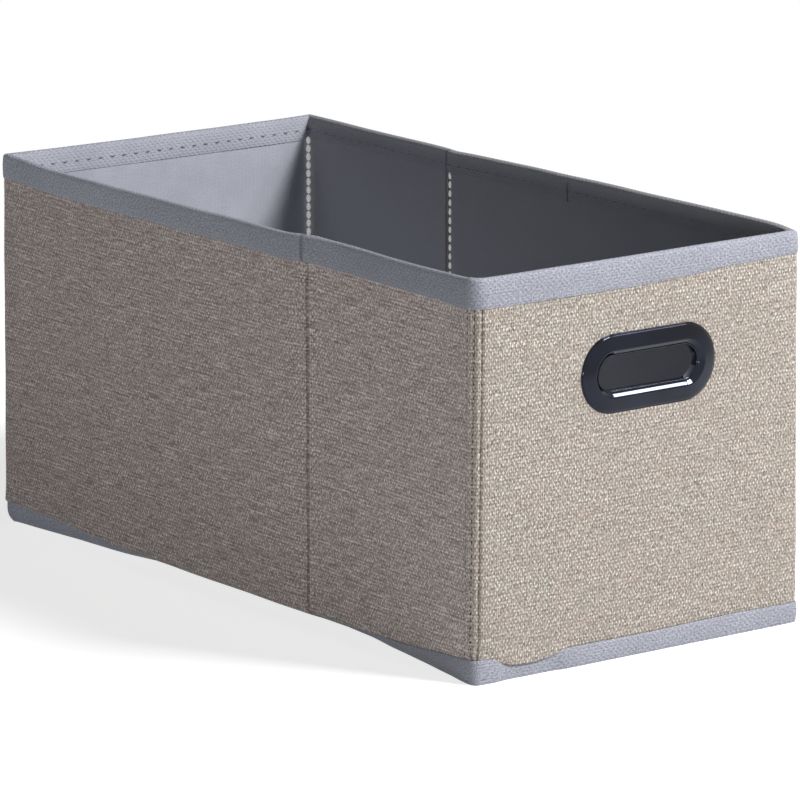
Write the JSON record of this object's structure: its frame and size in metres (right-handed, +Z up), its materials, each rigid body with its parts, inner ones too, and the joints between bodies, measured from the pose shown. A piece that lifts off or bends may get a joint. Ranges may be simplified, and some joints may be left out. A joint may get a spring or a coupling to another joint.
{
  "type": "fabric shelf bin",
  "caption": "Open-topped folding shelf bin of cloth over stiff boards, with a bound rim, creased long sides, a loose base board and a metal-ringed grip hole in its front end.",
  "frame": {"origin": "middle of the underside", "axes": "+Z up, -Y out of the front end that has the grip hole, +X to the right as seen from the front"},
  "size_m": [0.15, 0.3078, 0.149],
  "materials": {
    "linen": "woven linen look with small printed dots",
    "trim": "grey non-woven cloth with an embossed dot grid",
    "lining": "grey non-woven cloth with an embossed dot grid",
    "board": "raw grey pressed board",
    "ring": "polished, nickel coloured",
    "washer": "plain zinc"
  },
  "bodies": {
    "front_end": {"front_end_board": "board", "front_end_bottom_hem": "trim", "front_end_lining": "lining", "front_end_outer_cloth": "linen", "front_end_rim_binding": "trim", "front_seam_ridge": "linen", "grip_ring": "ring", "grip_washer": "washer", "bottom_panel": "trim"},
    "left_front": {"left_front_board": "board", "left_front_bottom_hem": "trim", "left_front_lining": "lining", "left_front_outer_cloth": "linen", "left_front_rim_binding": "trim"},
    "left_rear": {"left_rear_board": "board", "left_rear_bottom_hem": "trim", "left_rear_lining": "lining", "left_rear_outer_cloth": "linen", "left_rear_rim_binding": "trim"},
    "rear_end": {"rear_end_board": "board", "rear_end_bottom_hem": "trim", "rear_end_lining": "lining", "rear_end_outer_cloth": "linen", "rear_end_rim_binding": "trim"},
    "right_front": {"right_front_board": "board", "right_front_bottom_hem": "trim", "right_front_lining": "lining", "right_front_outer_cloth": "linen", "right_front_rim_binding": "trim"},
    "right_rear": {"right_rear_board": "board", "right_rear_bottom_hem": "trim", "right_rear_lining": "lining", "right_rear_outer_cloth": "linen", "right_rear_rim_binding": "trim"},
    "base_board": {"base_board": "board", "base_board_cover": "lining"}
  },
  "joints": [
    {"name": "left_front_fold", "type": "hinge", "parent": "front_end", "child": "left_front", "pos_m": [-0.0713, -0.1493, 0], "axis": [0, 0, -1], "range_deg": [0, 87]},
    {"name": "left_crease_fold", "type": "hinge", "parent": "left_front", "child": "left_rear", "pos_m": [-0.075, -0.053, 0], "axis": [0, 0, 1], "range_deg": [0, 116]},
    {"name": "left_rear_fold", "type": "hinge", "parent": "left_rear", "child": "rear_end", "pos_m": [-0.0713, 0.1493, 0], "axis": [0, 0, -1], "range_deg": [0, 29]},
    {"name": "right_front_fold", "type": "hinge", "parent": "front_end", "child": "right_front", "pos_m": [0.0713, -0.1493, 0], "axis": [0, 0, 1], "range_deg": [0, 29]},
    {"name": "right_crease_fold", "type": "hinge", "parent": "right_front", "child": "right_rear", "pos_m": [0.075, 0.053, 0], "axis": [0, 0, -1], "range_deg": [0, 116]},
    {"name": "base_board_lift", "type": "slide", "parent": "front_end", "child": "base_board", "axis": [0, 0, 1], "range_m": [0, 0.152]}
  ],
  "couplings": [
    {"joint": "left_crease_fold", "follows": "left_front_fold", "ratio": 1.3333},
    {"joint": "left_rear_fold", "follows": "left_front_fold", "ratio": 0.33333},
    {"joint": "right_front_fold", "follows": "left_front_fold", "ratio": 0.33333},
    {"joint": "right_crease_fold", "follows": "left_front_fold", "ratio": 1.3333}
  ]
}
